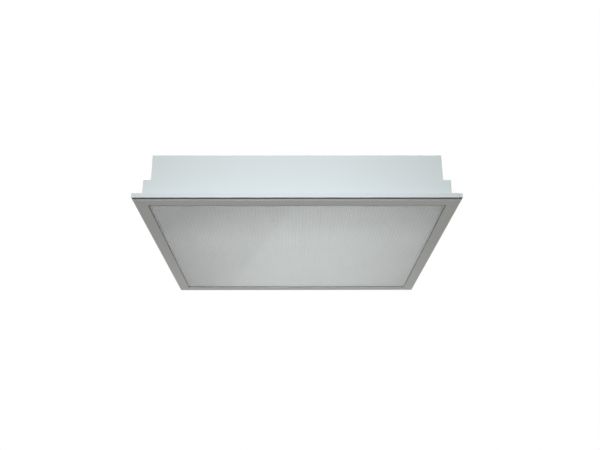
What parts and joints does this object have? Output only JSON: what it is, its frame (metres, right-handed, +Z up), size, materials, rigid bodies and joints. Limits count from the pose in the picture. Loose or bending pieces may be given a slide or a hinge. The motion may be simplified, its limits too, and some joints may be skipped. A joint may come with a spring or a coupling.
{
  "type": "recessed troffer light",
  "caption": "Square recessed ceiling troffer: stepped steel housing, flanged edge, gear tray with light boards, and a hinged framed door with a prismatic diffuser.",
  "frame": {"origin": "middle of the door's lower face, which is the lowest surface of the light", "axes": "+Z up into the ceiling void, +Y towards the hinged edge of the door, +X to the side that the cable entry is on"},
  "size_m": [0.595, 0.595, 0.0985],
  "materials": {
    "housing_white": "smooth satin powder coat on steel sheet",
    "door_white": "satin powder coat on aluminium",
    "tray_white": "matt white reflector coat",
    "board_white": "white solder mask on aluminium",
    "chip_yellow": "phosphor in a moulded cup",
    "socket_white": "moulded",
    "nylon_white": "moulded nylon",
    "grommet_rubber": "moulded",
    "buffer_rubber": "soft",
    "driver_metal": "satin",
    "driver_plastic": "moulded",
    "zinc_steel": "zinc plated",
    "spring_steel": "spring temper",
    "angle_aluminium": "mill finish",
    "diffuser_acrylic": "prisms on the lower face",
    "block_white": "moulded",
    "contact_brass": "stamped",
    "button_orange": "moulded",
    "wire_brown": "insulation",
    "wire_blue": "insulation",
    "wire_green": "green and yellow insulation",
    "lead_red": "insulation",
    "lead_black": "insulation"
  },
  "bodies": {
    "housing": {"housing_body": "housing_white", "front_end_plate": "housing_white", "rear_end_plate": "housing_white", "gear_tray": "tray_white", "gear_tray_clips": "nylon_white", "lead_grommet": "grommet_rubber", "light_board_1": "board_white", "light_board_2": "board_white", "light_board_3": "board_white", "light_board_4": "board_white", "light_chips": "chip_yellow", "light_board_clips": "nylon_white", "light_board_sockets": "socket_white", "driver_case": "driver_metal", "driver_covers": "driver_plastic", "driver_screws": "zinc_steel", "cable_grommet": "grommet_rubber", "cable_clamp": "nylon_white", "terminal_block": "block_white", "terminal_contacts": "contact_brass", "terminal_springs": "spring_steel", "earth_stud": "zinc_steel", "earth_nut": "zinc_steel", "earth_tag": "zinc_steel", "live_wire": "wire_brown", "neutral_wire": "wire_blue", "earth_wire": "wire_green", "red_leads": "lead_red", "black_leads": "lead_black", "hinge_eye_left": "zinc_steel", "hinge_eye_right": "zinc_steel", "catch_spring_left": "spring_steel", "catch_spring_right": "spring_steel"},
    "door": {"door_rail_rear": "door_white", "door_rail_front": "door_white", "door_rail_left": "door_white", "door_rail_right": "door_white", "corner_angles": "angle_aluminium", "diffuser_panel": "diffuser_acrylic", "diffuser_clips": "spring_steel", "door_buffers": "buffer_rubber", "hinge_leaf_left": "zinc_steel", "hinge_leaf_right": "zinc_steel", "hinge_pin_left": "zinc_steel", "hinge_pin_right": "zinc_steel", "strike_left": "zinc_steel", "strike_right": "zinc_steel", "door_screws": "zinc_steel"},
    "live_release": {"live_button": "button_orange"},
    "neutral_release": {"neutral_button": "button_orange"},
    "earth_release": {"earth_button": "button_orange"}
  },
  "joints": [
    {"name": "door_hinge", "type": "hinge", "parent": "housing", "child": "door", "pos_m": [0, 0.293, 0.003], "axis": [1, 0, 0], "range_deg": [0, 90], "deforming": ["catch_spring_left", "catch_spring_right"]},
    {"name": "live_press", "type": "slide", "parent": "housing", "child": "live_release", "axis": [0, 0, 1], "range_m": [0, 0.0015], "stiffness_N_per_m": 800, "deforming": ["terminal_springs"]},
    {"name": "neutral_press", "type": "slide", "parent": "housing", "child": "neutral_release", "axis": [0, 0, 1], "range_m": [0, 0.0015], "stiffness_N_per_m": 800, "deforming": ["terminal_springs"]},
    {"name": "earth_press", "type": "slide", "parent": "housing", "child": "earth_release", "axis": [0, 0, 1], "range_m": [0, 0.0015], "stiffness_N_per_m": 800, "deforming": ["terminal_springs"]}
  ]
}
